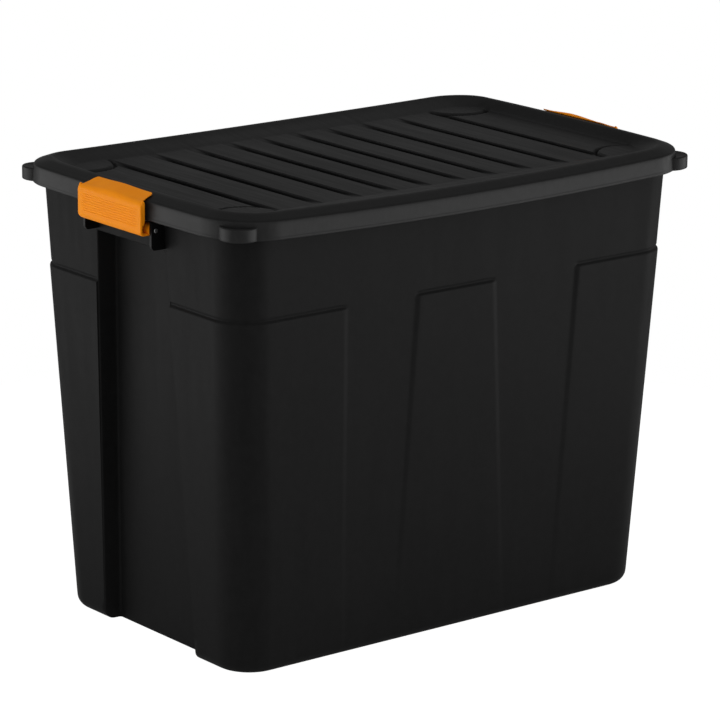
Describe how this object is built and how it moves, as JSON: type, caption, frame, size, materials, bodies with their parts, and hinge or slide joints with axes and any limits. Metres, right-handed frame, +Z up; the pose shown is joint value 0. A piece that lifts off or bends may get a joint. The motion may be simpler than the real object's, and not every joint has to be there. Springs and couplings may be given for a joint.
{
  "type": "attached lid tote",
  "caption": "Large rectangular storage tote with tapered panelled walls, a lift-off slatted lid and a swing-over latch on a hinge pin at each end.",
  "frame": {"origin": "middle of the underside, on the plane the tote stands on", "axes": "+X along the length from one latch to the other, +Y across the width, +Z up"},
  "size_m": [0.6796, 0.4328, 0.5219],
  "materials": {
    "tub_plastic": "fine moulded grain, charcoal",
    "lid_plastic": "fine moulded grain, charcoal",
    "latch_plastic": "satin orange",
    "bracket_plastic": "smooth deep black",
    "pin_steel": "ground",
    "rivet_metal": "satin"
  },
  "bodies": {
    "tub_body": {"tub": "tub_plastic", "latch_bracket_left": "bracket_plastic", "latch_pin_left": "pin_steel", "bracket_rivets_left": "rivet_metal", "latch_bracket_right": "bracket_plastic", "latch_pin_right": "pin_steel", "bracket_rivets_right": "rivet_metal"},
    "lid_body": {"lid": "lid_plastic"},
    "latch_left_body": {"latch_left": "latch_plastic"},
    "latch_right_body": {"latch_right": "latch_plastic"}
  },
  "joints": [
    {"name": "lid_lift", "type": "slide", "parent": "tub_body", "child": "lid_body", "axis": [0, 0, 1], "range_m": [0, 0.3]},
    {"name": "latch_left_swing", "type": "hinge", "parent": "tub_body", "child": "latch_left_body", "pos_m": [-0.3225, 0, 0.482], "axis": [0, -1, 0], "range_deg": [0, 115]},
    {"name": "latch_right_swing", "type": "hinge", "parent": "tub_body", "child": "latch_right_body", "pos_m": [0.3225, 0, 0.482], "axis": [0, 1, 0], "range_deg": [0, 115]}
  ]
}
